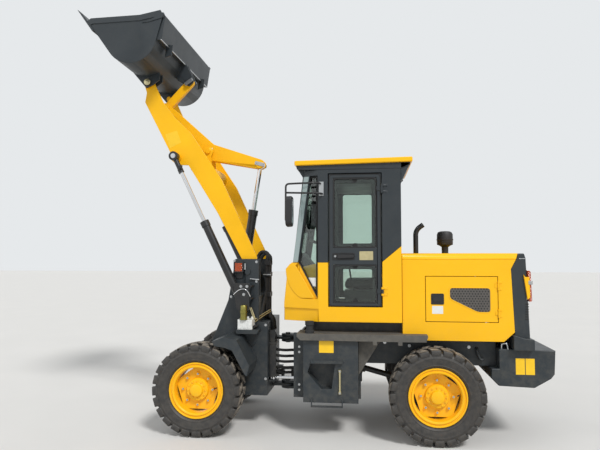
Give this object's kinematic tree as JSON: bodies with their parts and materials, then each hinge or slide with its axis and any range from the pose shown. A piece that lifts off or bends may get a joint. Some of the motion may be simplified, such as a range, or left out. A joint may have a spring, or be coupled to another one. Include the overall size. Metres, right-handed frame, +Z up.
{
  "type": "articulated wheel loader",
  "caption": "Small articulated wheel loader with a closed cab, raised Z-bar boom and rolled-back bucket, hinged between front and rear frame.",
  "frame": {"origin": "on the ground, at the middle of the bounding box as parked", "axes": "+Z up, front towards -X, the machine's left side towards -Y"},
  "size_m": [4.7194, 1.66, 4.3079],
  "materials": {
    "yellow_paint": "gloss enamel",
    "grey_paint": "satin enamel",
    "black_paint": "satin enamel",
    "chrome": "polished",
    "cast_grey": "as cast, painted",
    "tyre_rubber": "matt",
    "glass": "tinted, clear",
    "black_vinyl": "grained vinyl",
    "black_plastic": "moulded",
    "black_rubber": "matt",
    "amber_lens": "clear moulded",
    "red_lens": "clear moulded",
    "brushed_steel": "zinc plated"
  },
  "bodies": {
    "rear_frame": {"rear_frame": "grey_paint", "rear_axle": "grey_paint", "cab_cowl": "yellow_paint", "cab_frame": "grey_paint", "cab_roof": "yellow_paint", "cab_glass": "glass", "operator_seat": "black_vinyl", "console": "black_plastic", "steering_wheel": "black_plastic", "hood": "yellow_paint", "hood_sides": "yellow_paint", "grille_housing": "grey_paint", "radiator_grille": "grey_paint", "radiator": "cast_grey", "engine": "cast_grey", "counterweight": "grey_paint", "platforms": "grey_paint", "side_tanks": "grey_paint", "transmission": "cast_grey", "drive_shafts": "black_paint", "exhaust_pipe": "black_paint", "air_precleaner": "black_plastic", "mirrors": "black_plastic", "tail_lamps": "red_lens"},
    "front_frame": {"front_frame": "grey_paint", "front_axle": "grey_paint", "front_fenders": "grey_paint", "drive_shaft_front": "black_paint", "turn_lamps": "amber_lens", "hose_sleeve": "black_rubber", "valve_block": "brushed_steel"},
    "boom": {"boom": "yellow_paint"},
    "bucket": {"bucket": "grey_paint", "cutting_edge": "grey_paint"},
    "bellcrank": {"bellcrank": "yellow_paint"},
    "bucket_link": {"bucket_link": "yellow_paint"},
    "lift_barrel_left": {"lift_barrel_left": "black_paint"},
    "lift_rod_left": {"lift_rod_left": "chrome"},
    "lift_barrel_right": {"lift_barrel_right": "black_paint"},
    "lift_rod_right": {"lift_rod_right": "chrome"},
    "tilt_barrel": {"tilt_barrel": "black_paint"},
    "tilt_rod": {"tilt_rod": "chrome"},
    "steer_barrel_left": {"steer_barrel_left": "black_paint"},
    "steer_rod_left": {"steer_rod_left": "chrome"},
    "steer_barrel_right": {"steer_barrel_right": "black_paint"},
    "steer_rod_right": {"steer_rod_right": "chrome"},
    "cab_door_left": {"cab_door_left": "grey_paint", "cab_door_left_glass": "glass"},
    "cab_door_right": {"cab_door_right": "grey_paint", "cab_door_right_glass": "glass"},
    "engine_door_left": {"engine_door_left": "yellow_paint"},
    "engine_door_right": {"engine_door_right": "yellow_paint"},
    "wheel_front_left": {"tyre_front_left": "tyre_rubber", "rim_front_left": "yellow_paint"},
    "wheel_front_right": {"tyre_front_right": "tyre_rubber", "rim_front_right": "yellow_paint"},
    "wheel_rear_left": {"tyre_rear_left": "tyre_rubber", "rim_rear_left": "yellow_paint"},
    "wheel_rear_right": {"tyre_rear_right": "tyre_rubber", "rim_rear_right": "yellow_paint"}
  },
  "joints": [
    {"name": "steering", "type": "hinge", "parent": "rear_frame", "child": "front_frame", "pos_m": [-0.281, 0, 0.625], "axis": [0, 0, 1], "range_deg": [-35, 35]},
    {"name": "boom_lift", "type": "hinge", "parent": "front_frame", "child": "boom", "pos_m": [-0.651, 0, 1.6], "axis": [0, 1, 0], "range_deg": [-98, 0]},
    {"name": "bucket_tilt", "type": "hinge", "parent": "boom", "child": "bucket", "pos_m": [-1.78145, 0, 3.6648], "axis": [0, -1, 0], "range_deg": [-65, 95]},
    {"name": "bellcrank_pivot", "type": "hinge", "parent": "boom", "child": "bellcrank", "pos_m": [-1.18, 0, 2.94523], "axis": [0, -1, 0], "range_deg": [-16.52, 11.32]},
    {"name": "link_pivot", "type": "hinge", "parent": "bucket", "child": "bucket_link", "pos_m": [-1.42608, 0, 3.76032], "axis": [0, -1, 0], "range_deg": [-12.87, 8.82]},
    {"name": "lift_barrel_pivot_left", "type": "hinge", "parent": "front_frame", "child": "lift_barrel_left", "pos_m": [-0.671, -0.44, 1.222], "axis": [0, 1, 0], "range_deg": [-88, 0]},
    {"name": "lift_rod_slide_left", "type": "slide", "parent": "lift_barrel_left", "child": "lift_rod_left", "axis": [-0.4359, 0, 0.9], "range_m": [-0.52858, 0]},
    {"name": "lift_barrel_pivot_right", "type": "hinge", "parent": "front_frame", "child": "lift_barrel_right", "pos_m": [-0.671, 0.44, 1.222], "axis": [0, 1, 0], "range_deg": [-88, 0]},
    {"name": "lift_rod_slide_right", "type": "slide", "parent": "lift_barrel_right", "child": "lift_rod_right", "axis": [-0.4359, 0, 0.9], "range_m": [-0.52858, 0]},
    {"name": "tilt_barrel_pivot", "type": "hinge", "parent": "front_frame", "child": "tilt_barrel", "pos_m": [-0.781, 0, 1.6], "axis": [0, 1, 0], "range_deg": [-103.35, 0]},
    {"name": "tilt_rod_slide", "type": "slide", "parent": "tilt_barrel", "child": "tilt_rod", "axis": [0.1539, 0, 0.9881], "range_m": [-0.17087, 0.1171]},
    {"name": "steer_barrel_pivot_left", "type": "hinge", "parent": "rear_frame", "child": "steer_barrel_left", "pos_m": [0.18, -0.26, 0.49], "axis": [0, 0, 1], "range_deg": [-7.01, 7.01]},
    {"name": "steer_rod_slide_left", "type": "slide", "parent": "steer_barrel_left", "child": "steer_rod_left", "axis": [-0.9994, 0.0345, 0], "range_m": [-0.14646, 0.14646]},
    {"name": "steer_barrel_pivot_right", "type": "hinge", "parent": "rear_frame", "child": "steer_barrel_right", "pos_m": [0.18, 0.26, 0.49], "axis": [0, 0, 1], "range_deg": [-7.01, 7.01]},
    {"name": "steer_rod_slide_right", "type": "slide", "parent": "steer_barrel_right", "child": "steer_rod_right", "axis": [-0.9994, -0.0345, 0], "range_m": [-0.14646, 0.14646]},
    {"name": "wheel_front_left_spin", "type": "hinge", "parent": "front_frame", "child": "wheel_front_left", "pos_m": [-1.081, -0.6475, 0.45], "axis": [0, 1, 0], "continuous": true},
    {"name": "wheel_front_right_spin", "type": "hinge", "parent": "front_frame", "child": "wheel_front_right", "pos_m": [-1.081, 0.6475, 0.45], "axis": [0, 1, 0], "continuous": true},
    {"name": "wheel_rear_left_spin", "type": "hinge", "parent": "rear_frame", "child": "wheel_rear_left", "pos_m": [1.235, -0.6475, 0.45], "axis": [0, 1, 0], "continuous": true},
    {"name": "wheel_rear_right_spin", "type": "hinge", "parent": "rear_frame", "child": "wheel_rear_right", "pos_m": [1.235, 0.6475, 0.45], "axis": [0, 1, 0], "continuous": true},
    {"name": "cab_door_left_hinge", "type": "hinge", "parent": "rear_frame", "child": "cab_door_left", "pos_m": [0.739, -0.613, 1.9], "axis": [0, 0, 1], "range_deg": [0, 100]},
    {"name": "engine_door_left_hinge", "type": "hinge", "parent": "rear_frame", "child": "engine_door_left", "pos_m": [1.835, -0.589, 1.35], "axis": [0, 0, 1], "range_deg": [0, 95]},
    {"name": "cab_door_right_hinge", "type": "hinge", "parent": "rear_frame", "child": "cab_door_right", "pos_m": [0.739, 0.613, 1.9], "axis": [0, 0, -1], "range_deg": [0, 100]},
    {"name": "engine_door_right_hinge", "type": "hinge", "parent": "rear_frame", "child": "engine_door_right", "pos_m": [1.835, 0.589, 1.35], "axis": [0, 0, -1], "range_deg": [0, 95]}
  ],
  "couplings": [
    {"joint": "bellcrank_pivot", "follows": "bucket_tilt", "ratio": -0.17327},
    {"joint": "link_pivot", "follows": "bucket_tilt", "ratio": -0.135},
    {"joint": "lift_barrel_pivot_left", "follows": "boom_lift", "ratio": 0.89616},
    {"joint": "lift_rod_slide_left", "follows": "boom_lift", "m_per_rad": 0.30842},
    {"joint": "lift_barrel_pivot_right", "follows": "boom_lift", "ratio": 0.89616},
    {"joint": "lift_rod_slide_right", "follows": "boom_lift", "m_per_rad": 0.30842},
    {"joint": "tilt_barrel_pivot", "follows": "boom_lift", "ratio": 1.0525},
    {"joint": "tilt_rod_slide", "follows": "bucket_tilt", "m_per_rad": -0.10271},
    {"joint": "steer_barrel_pivot_left", "follows": "steering", "ratio": 0.19953},
    {"joint": "steer_rod_slide_left", "follows": "steering", "m_per_rad": -0.23881},
    {"joint": "steer_barrel_pivot_right", "follows": "steering", "ratio": 0.19953},
    {"joint": "steer_rod_slide_right", "follows": "steering", "m_per_rad": 0.23881}
  ]
}
